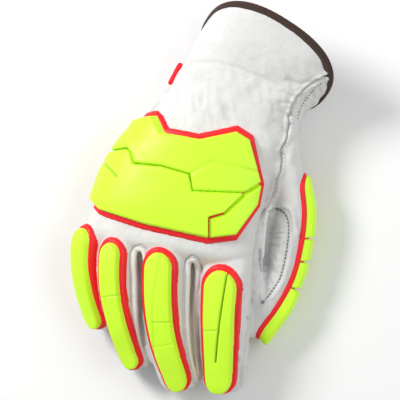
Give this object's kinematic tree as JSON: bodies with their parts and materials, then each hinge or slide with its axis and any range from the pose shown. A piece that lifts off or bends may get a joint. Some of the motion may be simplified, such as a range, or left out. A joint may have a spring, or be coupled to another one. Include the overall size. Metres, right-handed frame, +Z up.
{
  "type": "impact glove",
  "caption": "Right-hand slip-on leather work glove with a bound flared cuff and layered moulded impact guards on the back of the hand, the fingers and the thumb.",
  "frame": {"origin": "middle of the footprint, on the surface that the palm side lies on", "axes": "+Z up from the palm towards the back of the hand, +Y from the fingers towards the cuff, +X towards the thumb's side"},
  "size_m": [0.171, 0.2566, 0.0627],
  "materials": {
    "white_leather": "soft grain",
    "gusset_leather": "soft grain",
    "brown_tape": "ribbed woven tape",
    "red_rubber": "satin moulded",
    "yellow_rubber": "satin moulded"
  },
  "bodies": {
    "root": {"back_panel": "white_leather", "palm_panel": "white_leather", "thumb_gusset": "gusset_leather", "cuff_binding": "brown_tape", "wrist_tab": "red_rubber", "ring_middle_welt": "white_leather", "middle_index_welt": "white_leather", "back_guard_base": "red_rubber", "back_plate_lower": "yellow_rubber", "back_plate_upper": "yellow_rubber", "back_plate_corner": "yellow_rubber", "index_guard_base": "red_rubber", "index_guard_pad": "yellow_rubber", "middle_guard_base": "red_rubber", "middle_guard_pad": "yellow_rubber", "ring_guard_base": "red_rubber", "ring_guard_pad": "yellow_rubber", "little_guard_base": "red_rubber", "little_guard_pad": "yellow_rubber", "thumb_guard_base": "red_rubber", "thumb_guard_block_1": "yellow_rubber", "thumb_guard_block_2": "yellow_rubber", "thumb_guard_block_3": "yellow_rubber", "thumb_guard_block_4": "yellow_rubber"}
  },
  "joints": []
}
